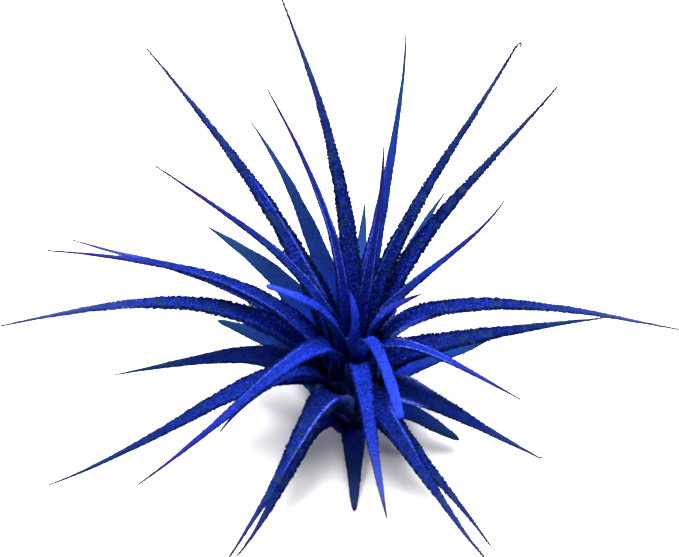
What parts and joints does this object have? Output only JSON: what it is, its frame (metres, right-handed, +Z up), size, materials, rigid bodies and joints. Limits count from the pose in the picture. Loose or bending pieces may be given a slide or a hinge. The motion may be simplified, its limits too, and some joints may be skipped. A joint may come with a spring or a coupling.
{
  "type": "sky plant",
  "caption": "Air plant rosette: long, channelled, tapering leaves with a blue coat stand out on all sides of a short stem with a flat foot.",
  "frame": {"origin": "middle of the stem's flat foot, on the surface that the plant stands on", "axes": "+Z up along the stem, -Y to the front of the plant, +X to its right seen from the front"},
  "size_m": [0.1159, 0.0886, 0.06],
  "materials": {
    "bright_coat": "matte",
    "blue_coat": "matte",
    "deep_coat": "matte",
    "stem_bark": "matte"
  },
  "bodies": {
    "root": {"stem": "stem_bark", "heart_leaf_01": "bright_coat", "heart_leaf_02": "bright_coat", "heart_leaf_03": "bright_coat", "heart_leaf_04": "bright_coat", "heart_leaf_05": "bright_coat", "inner_leaf_01": "bright_coat", "inner_leaf_02": "bright_coat", "inner_leaf_03": "bright_coat", "inner_leaf_04": "bright_coat", "inner_leaf_05": "bright_coat", "inner_leaf_06": "bright_coat", "inner_leaf_07": "bright_coat", "inner_leaf_08": "bright_coat", "inner_leaf_09": "bright_coat", "inner_leaf_10": "bright_coat", "middle_leaf_01": "blue_coat", "middle_leaf_02": "blue_coat", "middle_leaf_03": "blue_coat", "middle_leaf_04": "blue_coat", "middle_leaf_05": "blue_coat", "middle_leaf_06": "blue_coat", "middle_leaf_07": "blue_coat", "middle_leaf_08": "blue_coat", "middle_leaf_09": "blue_coat", "outer_leaf_01": "deep_coat", "outer_leaf_02": "deep_coat", "outer_leaf_03": "deep_coat", "outer_leaf_04": "deep_coat", "outer_leaf_05": "deep_coat", "outer_leaf_06": "deep_coat", "outer_leaf_07": "deep_coat", "outer_leaf_08": "deep_coat", "ground_leaf_01": "deep_coat", "ground_leaf_02": "deep_coat", "ground_leaf_03": "deep_coat", "ground_leaf_04": "deep_coat", "ground_leaf_05": "deep_coat", "ground_leaf_06": "deep_coat", "ground_leaf_07": "deep_coat", "ground_leaf_08": "deep_coat", "ground_leaf_09": "deep_coat", "ground_leaf_10": "deep_coat"}
  },
  "joints": []
}
